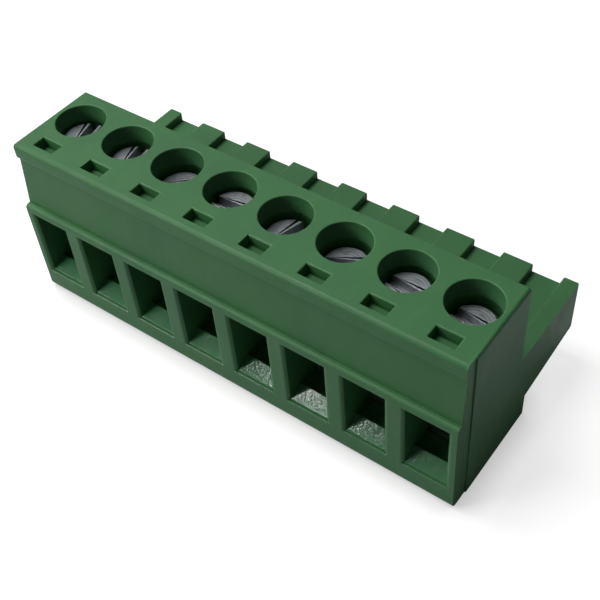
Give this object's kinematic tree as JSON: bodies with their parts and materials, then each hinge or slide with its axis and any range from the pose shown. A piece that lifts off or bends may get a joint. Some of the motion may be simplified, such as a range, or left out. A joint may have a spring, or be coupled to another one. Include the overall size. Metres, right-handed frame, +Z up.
{
  "type": "pluggable terminal block",
  "caption": "Green plug-in screw terminal block: wire funnels in front, screwdriver holes on top, ribbed plug nose behind, slotted clamp screws that lift wire sleeves.",
  "frame": {"origin": "centre of the overall box in X and Y, on the base plane", "axes": "+X along the row of poles, +Y from the wire side to the nose end, +Z up from the base to the deck"},
  "size_m": [0.0406, 0.0176, 0.0152],
  "materials": {
    "housing_polyamide": "moulded, fine satin grain",
    "screw_steel": "zinc plated, turned",
    "sleeve_steel": "zinc plated, bent strip",
    "contact_metal": "tin plated, stamped"
  },
  "bodies": {
    "block": {"housing": "housing_polyamide", "contact_bar_1": "contact_metal", "contact_bar_2": "contact_metal", "contact_bar_3": "contact_metal", "contact_bar_4": "contact_metal", "contact_bar_5": "contact_metal", "contact_bar_6": "contact_metal", "contact_bar_7": "contact_metal", "contact_bar_8": "contact_metal"},
    "screw_1": {"clamp_screw_1": "screw_steel"},
    "sleeve_1": {"clamp_sleeve_1": "sleeve_steel"},
    "screw_2": {"clamp_screw_2": "screw_steel"},
    "sleeve_2": {"clamp_sleeve_2": "sleeve_steel"},
    "screw_3": {"clamp_screw_3": "screw_steel"},
    "sleeve_3": {"clamp_sleeve_3": "sleeve_steel"},
    "screw_4": {"clamp_screw_4": "screw_steel"},
    "sleeve_4": {"clamp_sleeve_4": "sleeve_steel"},
    "screw_5": {"clamp_screw_5": "screw_steel"},
    "sleeve_5": {"clamp_sleeve_5": "sleeve_steel"},
    "screw_6": {"clamp_screw_6": "screw_steel"},
    "sleeve_6": {"clamp_sleeve_6": "sleeve_steel"},
    "screw_7": {"clamp_screw_7": "screw_steel"},
    "sleeve_7": {"clamp_sleeve_7": "sleeve_steel"},
    "screw_8": {"clamp_screw_8": "screw_steel"},
    "sleeve_8": {"clamp_sleeve_8": "sleeve_steel"}
  },
  "joints": [
    {"name": "screw_1_turn", "type": "hinge", "parent": "block", "child": "screw_1", "pos_m": [-0.01778, -0.00312, 0.0118], "axis": [0, 0, -1], "range_deg": [0, 2000]},
    {"name": "sleeve_1_lift", "type": "slide", "parent": "block", "child": "sleeve_1", "axis": [0, 0, 1], "range_m": [0, 0.0025]},
    {"name": "screw_2_turn", "type": "hinge", "parent": "block", "child": "screw_2", "pos_m": [-0.0127, -0.00312, 0.0118], "axis": [0, 0, -1], "range_deg": [0, 2000]},
    {"name": "sleeve_2_lift", "type": "slide", "parent": "block", "child": "sleeve_2", "axis": [0, 0, 1], "range_m": [0, 0.0025]},
    {"name": "screw_3_turn", "type": "hinge", "parent": "block", "child": "screw_3", "pos_m": [-0.00762, -0.00312, 0.0118], "axis": [0, 0, -1], "range_deg": [0, 2000]},
    {"name": "sleeve_3_lift", "type": "slide", "parent": "block", "child": "sleeve_3", "axis": [0, 0, 1], "range_m": [0, 0.0025]},
    {"name": "screw_4_turn", "type": "hinge", "parent": "block", "child": "screw_4", "pos_m": [-0.00254, -0.00312, 0.0118], "axis": [0, 0, -1], "range_deg": [0, 2000]},
    {"name": "sleeve_4_lift", "type": "slide", "parent": "block", "child": "sleeve_4", "axis": [0, 0, 1], "range_m": [0, 0.0025]},
    {"name": "screw_5_turn", "type": "hinge", "parent": "block", "child": "screw_5", "pos_m": [0.00254, -0.00312, 0.0118], "axis": [0, 0, -1], "range_deg": [0, 2000]},
    {"name": "sleeve_5_lift", "type": "slide", "parent": "block", "child": "sleeve_5", "axis": [0, 0, 1], "range_m": [0, 0.0025]},
    {"name": "screw_6_turn", "type": "hinge", "parent": "block", "child": "screw_6", "pos_m": [0.00762, -0.00312, 0.0118], "axis": [0, 0, -1], "range_deg": [0, 2000]},
    {"name": "sleeve_6_lift", "type": "slide", "parent": "block", "child": "sleeve_6", "axis": [0, 0, 1], "range_m": [0, 0.0025]},
    {"name": "screw_7_turn", "type": "hinge", "parent": "block", "child": "screw_7", "pos_m": [0.0127, -0.00312, 0.0118], "axis": [0, 0, -1], "range_deg": [0, 2000]},
    {"name": "sleeve_7_lift", "type": "slide", "parent": "block", "child": "sleeve_7", "axis": [0, 0, 1], "range_m": [0, 0.0025]},
    {"name": "screw_8_turn", "type": "hinge", "parent": "block", "child": "screw_8", "pos_m": [0.01778, -0.00312, 0.0118], "axis": [0, 0, -1], "range_deg": [0, 2000]},
    {"name": "sleeve_8_lift", "type": "slide", "parent": "block", "child": "sleeve_8", "axis": [0, 0, 1], "range_m": [0, 0.0025]}
  ],
  "couplings": [
    {"joint": "screw_1_turn", "follows": "sleeve_1_lift", "rad_per_m": 13963},
    {"joint": "screw_2_turn", "follows": "sleeve_2_lift", "rad_per_m": 13963},
    {"joint": "screw_3_turn", "follows": "sleeve_3_lift", "rad_per_m": 13963},
    {"joint": "screw_4_turn", "follows": "sleeve_4_lift", "rad_per_m": 13963},
    {"joint": "screw_5_turn", "follows": "sleeve_5_lift", "rad_per_m": 13963},
    {"joint": "screw_6_turn", "follows": "sleeve_6_lift", "rad_per_m": 13963},
    {"joint": "screw_7_turn", "follows": "sleeve_7_lift", "rad_per_m": 13963},
    {"joint": "screw_8_turn", "follows": "sleeve_8_lift", "rad_per_m": 13963}
  ]
}
